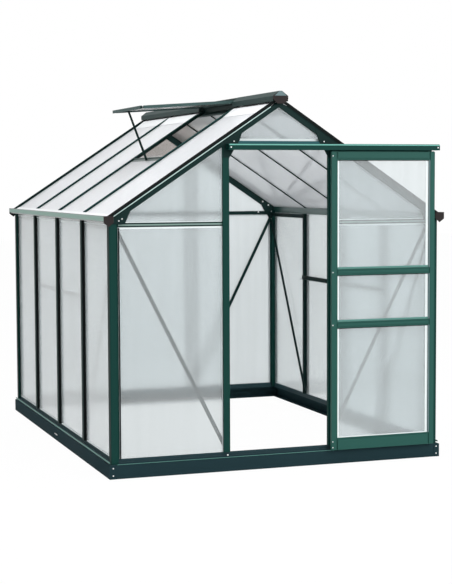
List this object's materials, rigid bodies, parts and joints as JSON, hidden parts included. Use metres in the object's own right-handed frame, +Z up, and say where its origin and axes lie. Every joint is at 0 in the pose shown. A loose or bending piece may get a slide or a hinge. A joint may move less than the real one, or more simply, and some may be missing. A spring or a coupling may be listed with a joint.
{
  "type": "walk-in greenhouse",
  "caption": "Small walk-in greenhouse with a pitched roof: green aluminium frame, translucent twin-wall sheets, steel base, hung sliding door in the gable and a propped roof window.",
  "frame": {"origin": "centre of the base outline at ground level, on the underside of the base rails", "axes": "+X runs along the front gable towards the pushed-back door, +Y from the front gable to the rear gable along the ridge, +Z up"},
  "size_m": [1.9392, 2.5751, 2.017],
  "materials": {
    "green_frame": "dark green powder coat on extruded aluminium, satin",
    "base_steel": "dark slate-green coated sheet steel, satin",
    "twin_wall_sheet": "translucent twin-wall polycarbonate sheet with fine upright ribs",
    "black_plastic": "moulded black plastic, slight sheen",
    "plated_steel": "zinc plated steel"
  },
  "bodies": {
    "house": {"base_brackets": "base_steel", "base_front": "base_steel", "base_left": "base_steel", "base_rear": "base_steel", "base_right": "base_steel", "corner_posts": "green_frame", "door_header": "green_frame", "door_posts": "green_frame", "door_track": "green_frame", "end_caps": "black_plastic", "front_crossbars": "green_frame", "front_gussets": "green_frame", "front_panes": "twin_wall_sheet", "front_rafters": "green_frame", "gutter_left": "green_frame", "gutter_right": "green_frame", "rear_crossbars": "green_frame", "rear_gussets": "green_frame", "rear_panes": "twin_wall_sheet", "rear_rafters": "green_frame", "rear_studs": "green_frame", "ridge_beam": "green_frame", "roof_bars_left": "green_frame", "roof_bars_right": "green_frame", "roof_panes_left": "twin_wall_sheet", "roof_panes_right": "twin_wall_sheet", "side_bars_left": "green_frame", "side_bars_right": "green_frame", "side_rails": "green_frame", "sill_front": "green_frame", "sill_left": "green_frame", "sill_rear": "green_frame", "sill_right": "green_frame", "vent_frame": "green_frame", "vent_pane": "twin_wall_sheet", "vent_sill": "green_frame", "vent_stay": "green_frame", "wall_braces": "green_frame", "wall_panes_left": "twin_wall_sheet", "wall_panes_right": "twin_wall_sheet"},
    "door": {"door_stiles": "green_frame", "door_rails": "green_frame", "door_panes": "twin_wall_sheet", "door_hangers": "plated_steel", "door_rollers": "black_plastic"}
  },
  "joints": [
    {"name": "door_slide", "type": "slide", "parent": "house", "child": "door", "axis": [1, 0, 0], "range_m": [-0.593, 0]}
  ]
}
